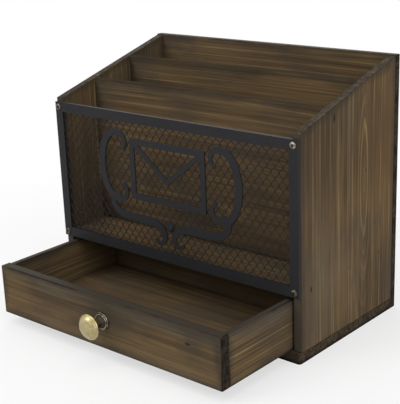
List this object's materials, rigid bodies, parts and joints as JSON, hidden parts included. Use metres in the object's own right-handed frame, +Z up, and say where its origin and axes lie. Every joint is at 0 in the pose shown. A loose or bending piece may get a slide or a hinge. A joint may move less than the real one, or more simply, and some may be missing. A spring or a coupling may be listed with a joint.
{
  "type": "envelope sorter with drawer",
  "caption": "Desktop letter sorter of dark torched wood with a steel mesh front, upright letter slots under sloping sides, and a shallow pen drawer with a brass knob beneath.",
  "frame": {"origin": "centre of the cabinet's footprint on the surface that it stands on, at the flat underside of the base", "axes": "+X to the right along the width, -Y towards the mesh front and the drawer's pull, +Z up"},
  "size_m": [0.28, 0.2606, 0.236],
  "materials": {
    "torched_wood": "torched and brushed softwood under a thin matt coat",
    "drawer_floor": "dark stained plywood",
    "black_steel": "satin black powder coat",
    "antique_brass": "pale antique brass, darkened in the grooves",
    "aged_nickel": "aged nickel plate",
    "burnt_steel": "heat-blackened steel, with the heads waxed over in the colour of the wood"
  },
  "bodies": {
    "cabinet": {"base_board": "torched_wood", "left_side_panel": "torched_wood", "right_side_panel": "torched_wood", "back_panel": "torched_wood", "letter_shelf": "torched_wood", "front_divider": "torched_wood", "rear_divider": "torched_wood", "mesh_screen": "black_steel", "emblem": "black_steel", "frame_top_bar": "black_steel", "frame_right_bar": "black_steel", "frame_bottom_bar": "black_steel", "frame_left_bar": "black_steel", "frame_screws": "aged_nickel", "base_brads": "burnt_steel", "shelf_brads": "burnt_steel", "divider_brads": "burnt_steel", "back_brads": "burnt_steel"},
    "drawer": {"drawer_front": "torched_wood", "drawer_left_side": "torched_wood", "drawer_right_side": "torched_wood", "drawer_back": "torched_wood", "drawer_bottom": "drawer_floor", "drawer_brads": "burnt_steel", "knob_rosette": "antique_brass", "knob": "antique_brass", "knob_screw": "aged_nickel"}
  },
  "joints": [
    {"name": "drawer_slide", "type": "slide", "parent": "cabinet", "child": "drawer", "axis": [0, -1, 0], "range_m": [-0.0885, 0.0215]}
  ]
}
